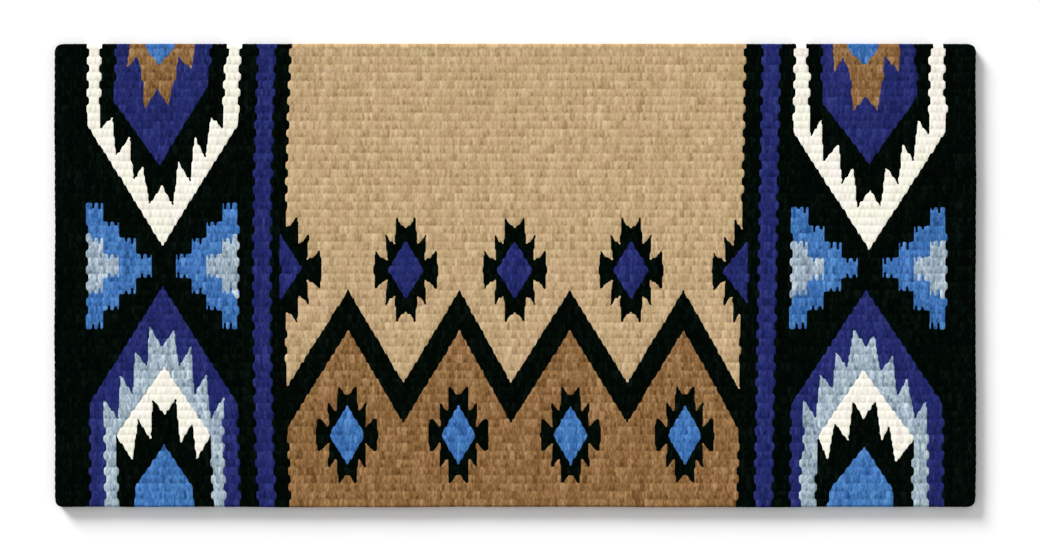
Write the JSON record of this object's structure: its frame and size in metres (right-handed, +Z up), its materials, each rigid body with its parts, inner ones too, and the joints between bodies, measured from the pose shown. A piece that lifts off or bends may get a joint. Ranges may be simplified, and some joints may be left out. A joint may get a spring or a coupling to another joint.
{
  "type": "saddle blanket",
  "caption": "Hand-woven wool saddle blanket, folded in half to lie flat, with a geometric tapestry pattern and a fold that opens out.",
  "frame": {"origin": "under the middle of the folded blanket, on the surface that it lies on", "axes": "+X across the blanket along its fold, +Y from the drop edge towards the fold, +Z up out of the upper leaf"},
  "size_m": [0.9138, 0.4602, 0.0103],
  "materials": {
    "black_wool": "matt, tightly packed hand-spun weft",
    "navy_wool": "matt, tightly packed hand-spun weft",
    "white_wool": "matt, tightly packed hand-spun weft",
    "sand_wool": "matt, tightly packed hand-spun weft",
    "brown_wool": "matt, tightly packed hand-spun weft",
    "sky_wool": "matt, tightly packed hand-spun weft",
    "pale_wool": "matt, tightly packed hand-spun weft",
    "warp_cord": "plain undyed cord, hidden inside the weft"
  },
  "bodies": {
    "lower_leaf": {"lower_outer_weft": "sand_wool", "lower_warps": "warp_cord", "lower_inner_weft": "sand_wool"},
    "fold": {"fold_outer_weft": "black_wool", "fold_warps": "warp_cord", "fold_inner_weft": "sand_wool"},
    "upper_leaf": {"brown_field": "brown_wool", "field_lattice": "black_wool", "left_blue_terrace_a": "sky_wool", "left_blue_terrace_b": "sky_wool", "left_border_ground": "black_wool", "left_brown_crown": "brown_wool", "left_chevron_lining": "black_wool", "left_cream_chevron": "white_wool", "left_frame_lining": "black_wool", "left_half_diamond": "navy_wool", "left_navy_chevron": "navy_wool", "left_navy_core": "navy_wool", "left_navy_stripe": "navy_wool", "left_pale_chevron": "pale_wool", "left_pale_terrace_a": "pale_wool", "left_pale_terrace_b": "pale_wool", "left_sky_core": "sky_wool", "left_sky_tip": "sky_wool", "left_white_frame": "white_wool", "navy_diamond_1": "navy_wool", "navy_diamond_2": "navy_wool", "navy_diamond_3": "navy_wool", "navy_rim_1": "black_wool", "navy_rim_2": "black_wool", "navy_rim_3": "black_wool", "right_blue_terrace_a": "sky_wool", "right_blue_terrace_b": "sky_wool", "right_border_ground": "black_wool", "right_brown_crown": "brown_wool", "right_chevron_lining": "black_wool", "right_cream_chevron": "white_wool", "right_frame_lining": "black_wool", "right_half_diamond": "navy_wool", "right_navy_chevron": "navy_wool", "right_navy_core": "navy_wool", "right_navy_stripe": "navy_wool", "right_pale_chevron": "pale_wool", "right_pale_terrace_a": "pale_wool", "right_pale_terrace_b": "pale_wool", "right_sky_core": "sky_wool", "right_sky_tip": "sky_wool", "right_white_frame": "white_wool", "sand_field": "sand_wool", "sky_diamond_1": "sky_wool", "sky_diamond_2": "sky_wool", "sky_diamond_3": "sky_wool", "sky_diamond_4": "sky_wool", "sky_rim_1": "black_wool", "sky_rim_2": "black_wool", "sky_rim_3": "black_wool", "sky_rim_4": "black_wool", "upper_inner_weft": "sand_wool", "upper_warps": "warp_cord"}
  },
  "joints": [
    {"name": "lower_fold_line", "type": "hinge", "parent": "lower_leaf", "child": "fold", "pos_m": [0, 0.22701, 0.00307], "axis": [-1, 0, 0], "range_deg": [0, 90], "deforming": ["fold_outer_weft", "fold_warps", "fold_inner_weft"]},
    {"name": "upper_fold_line", "type": "hinge", "parent": "fold", "child": "upper_leaf", "pos_m": [0, 0.22701, 0.00723], "axis": [-1, 0, 0], "range_deg": [0, 90], "deforming": ["fold_outer_weft", "fold_warps", "fold_inner_weft"]}
  ]
}
